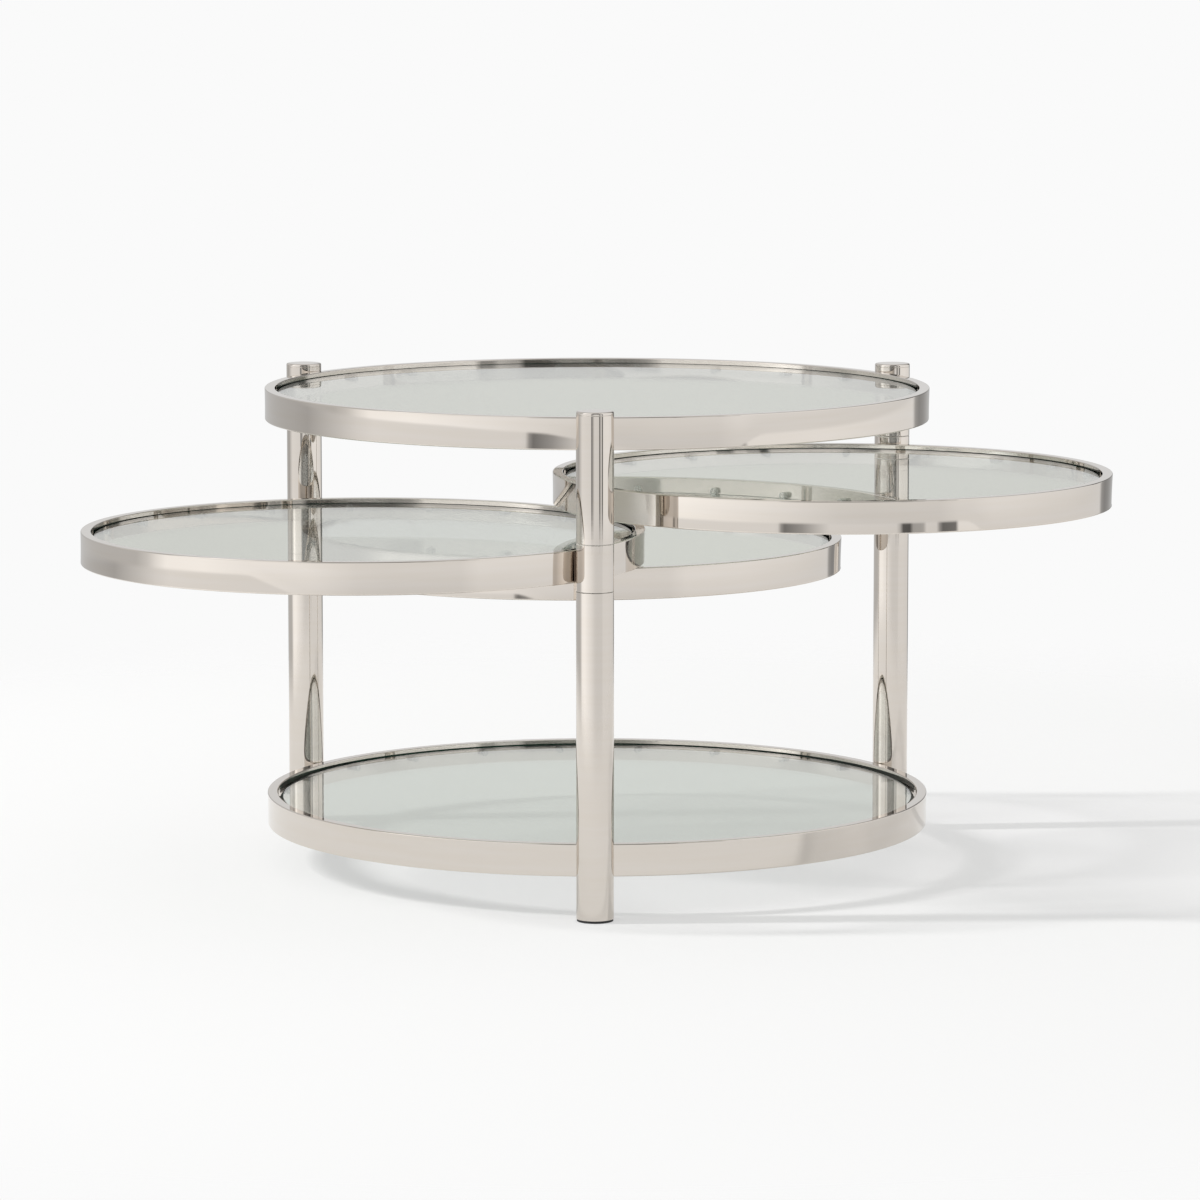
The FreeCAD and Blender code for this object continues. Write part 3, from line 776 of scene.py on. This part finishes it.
# Studio: white for the camera; what the metal mirrors is the pale floor, the dark gaps between the panels
# beside the camera, the wide soft panel on the left, and the unlit room on either side of the paper behind
studio = {
    "white": "#FAFAFA",
    "throughGlass": "#CBCABD",  # unlit paper behind the table
    "behindFade": 0.1,  # sine of the angle over which the glass goes from the paper behind to the room in front
    "sideShade": 0.9,  # the paper's share to the sides, reached between these sines of the bearing
    "sideFrom": 0.02,
    "sideTo": 0.08,
    "soft": 0.56,  # light of the room on matt surfaces
    "overhead": 0.75,
    "brightest": 2.0,  # the level at the top of the ramps
    "floorNear": (-11.0, 1.03),  # the floor is brighter near the table, at this angle, than further off
    "floorFar": (-8.0, 0.93),
    # degrees above the horizon where the floor, the skyline and the panels end, and half the width of the change
    "ends": {"floor": (-6.6, 0.25), "skyline": (2.5, 1.5), "panels": (55.0, 12)},
    # brightness by bearing: 0 is the camera's side, -90 the left, 90 the right
    "levels": {
        "floor": [
            (-180, 0.62), (-150, 0.66), (-130, 0.66), (-102, 0.68), (-95, 0.86), (-90, 1.12), (-84, 1.36), (-65, 1.38),
            (-43, 1.24), (-21, 1.1), (0, 0.94), (12, 0.91), (42, 0.91), (50, 1.0), (80, 1.01), (110, 0.98),
            (141.5, 0.9), (144, 0.42), (149, 0.31), (155, 0.35), (163, 0.46), (180, 0.6)],
        "skyline": [
            (-180, 0.6), (-130, 0.54), (-118, 0.5), (-100, 0.75), (-90, 0.92), (-82, 1.0), (-24, 0.94), (-22, 0.22),
            (-14, 0.42), (-8, 0.7), (-3, 0.92), (25, 0.88), (26, 0.14), (30, 0.12), (31, 0.5), (35, 0.5), (36.5, 0.9),
            (41.5, 0.88), (42.5, 0.18), (49.5, 0.24), (50.5, 1.06), (85, 1.08), (110, 1.02), (141.5, 0.92),
            (144, 0.42), (149, 0.31), (155, 0.35), (163, 0.46), (180, 0.6)],
        "panels": [
            (-180, 0.74), (-172, 0.74), (-168, 0.5), (-150, 0.62), (-112, 0.8), (-103, 0.55), (-92, 0.62),
            (-82.5, 0.76), (-79.5, 1.45), (-72, 1.7), (-64, 1.35), (-56, 1.15), (-50, 1.15), (-24, 1.05), (-18, 0.45),
            (-10, 0.2), (12, 0.2), (18, 0.1), (27, 0.1), (29, 0.6), (37, 0.75), (39, 0.4), (44, 0.4), (46, 1.2),
            (60, 1.02), (80, 0.98), (130, 0.94), (134, 0.12), (150, 0.2), (168, 0.3), (172, 0.74), (180, 0.74)],
    },
}
world = bpy.data.worlds.new("studio")
scene.world = world
world.use_nodes = True
tree = world.node_tree
tree.nodes.clear()
heading = addNode(tree, "ShaderNodeSeparateXYZ", {"Vector": addNode(tree, "ShaderNodeTexCoord").outputs["Generated"]})
towards = addNode(tree, "ShaderNodeMath", {0: heading.outputs["Y"], 1: -1.0}, operation="MULTIPLY")
turn = addNode(tree, "ShaderNodeMath", {0: heading.outputs["X"], 1: towards.outputs["Value"]}, operation="ARCTAN2")
compass = addNode(tree, "ShaderNodeMapRange", {
    "Value": turn.outputs["Value"], "From Min": -math.pi, "From Max": math.pi})
rise = addNode(tree, "ShaderNodeMath", {0: heading.outputs["Z"]}, operation="ARCSINE")
bands, over = {}, {}
for band, levels in studio["levels"].items():
    bands[band] = addNode(tree, "ShaderNodeValToRGB", {"Fac": compass.outputs["Result"]}, stops=[
        (bearing / 360 + 0.5, level / studio["brightest"]) for bearing, level in levels]).outputs["Color"]
for band, (end, soft) in studio["ends"].items():
    over[band] = addNode(tree, "ShaderNodeMapRange", {
        "Value": rise.outputs["Value"], "From Min": math.radians(end - soft), "From Max": math.radians(end + soft)},
        interpolation_type="SMOOTHSTEP").outputs["Result"]
farOff = addNode(tree, "ShaderNodeMapRange", {
    "Value": rise.outputs["Value"], "From Min": math.radians(studio["floorNear"][0]),
    "From Max": math.radians(studio["floorFar"][0]), "To Min": studio["floorNear"][1], "To Max": studio["floorFar"][1]})
litFloor = addNode(tree, "ShaderNodeVectorMath", {
    0: bands["floor"], "Scale": farOff.outputs["Result"]}, operation="SCALE")
lowBands = addNode(tree, "ShaderNodeMix", {
    "Factor": over["floor"], "A": litFloor.outputs["Vector"], "B": bands["skyline"]}, data_type="RGBA")
sideBands = addNode(tree, "ShaderNodeMix", {
    "Factor": over["skyline"], "A": lowBands.outputs["Result"], "B": bands["panels"]}, data_type="RGBA")
overhead = studio["overhead"] / studio["brightest"]
allBands = addNode(tree, "ShaderNodeMix", {
    "Factor": over["panels"], "A": sideBands.outputs["Result"], "B": (overhead, overhead, overhead, 1.0)},
    data_type="RGBA")
rays = addNode(tree, "ShaderNodeLightPath")
softLight = addNode(tree, "ShaderNodeBackground", {"Color": (1.0, 1.0, 1.0, 1.0), "Strength": studio["soft"]})
mirrored = addNode(tree, "ShaderNodeBackground", {"Color": allBands.outputs["Result"], "Strength": studio["brightest"]})
white = addNode(tree, "ShaderNodeBackground", {"Color": linearColour(studio["white"]), "Strength": 1.0})
aside = addNode(tree, "ShaderNodeMath", {0: heading.outputs["X"]}, operation="ABSOLUTE")
sideShade = addNode(tree, "ShaderNodeMapRange", {
    "Value": aside.outputs["Value"], "From Min": studio["sideFrom"], "From Max": studio["sideTo"],
    "To Min": 1.0, "To Max": studio["sideShade"]})
paperBehind = addNode(tree, "ShaderNodeBackground", {
    "Color": linearColour(studio["throughGlass"]), "Strength": sideShade.outputs["Result"]})
behind = addNode(tree, "ShaderNodeMapRange", {
    "Value": heading.outputs["Y"], "From Min": -studio["behindFade"], "From Max": studio["behindFade"]})
throughGlass = addNode(tree, "ShaderNodeMixShader", {
    0: behind.outputs["Result"], 1: mirrored.outputs["Background"], 2: paperBehind.outputs["Background"]})
glossyOrNot = addNode(tree, "ShaderNodeMixShader", {
    0: rays.outputs["Is Glossy Ray"], 1: softLight.outputs["Background"], 2: mirrored.outputs["Background"]})
seenThrough = addNode(tree, "ShaderNodeMixShader", {
    0: rays.outputs["Is Transmission Ray"], 1: glossyOrNot.outputs["Shader"], 2: throughGlass.outputs["Shader"]})
whole = addNode(tree, "ShaderNodeMixShader", {
    0: rays.outputs["Is Camera Ray"], 1: seenThrough.outputs["Shader"], 2: white.outputs["Background"]})
addNode(tree, "ShaderNodeOutputWorld", {"Surface": whole.outputs["Shader"]})

# Lamp: one tall narrow window far off on the left. Its shadows fall to the right, sharp across and soft along.
lamp = {"name": "leftWindow", "from": (-9.16, -0.81, 7.72), "watts": 1050, "width": 0.5, "height": 2.8}  # in metres
lampData = bpy.data.lights.new(lamp["name"], "AREA")
lampData.energy = lamp["watts"]
lampData.shape = "RECTANGLE"
lampData.size = lamp["width"]
lampData.size_y = lamp["height"]
lampObject = bpy.data.objects.new(lamp["name"], lampData)
lampObject.location = lamp["from"]
lampObject.rotation_euler = (-Vector(lamp["from"])).to_track_quat("-Z", "Y").to_euler()
lampObject.visible_glossy = False
lampObject.visible_transmission = False  # the panes let its light through as shadow rays, and not a second time
scene.collection.objects.link(lampObject)

# Camera: a long lens from the front, a little above the table
view = {
    "location": (0.02923, -5.25183, 0.9227),
    "tilt": 7.339,  # degrees down
    "turn": 0.289,
    "lens": 167.93,
    "sensor": 36.0,
    "farEnd": 60.0,  # metres, beyond the lamp and the floor
}
cameraData = bpy.data.cameras.new("camera")
cameraData.lens = view["lens"]
cameraData.sensor_width = view["sensor"]
cameraData.clip_end = view["farEnd"]
camera = bpy.data.objects.new("camera", cameraData)
camera.location = view["location"]
camera.rotation_euler = (math.radians(90 - view["tilt"]), 0.0, math.radians(view["turn"]))
scene.collection.objects.link(camera)
scene.camera = camera
scene.view_settings.view_transform = "Standard"
print("stage, light and camera set")
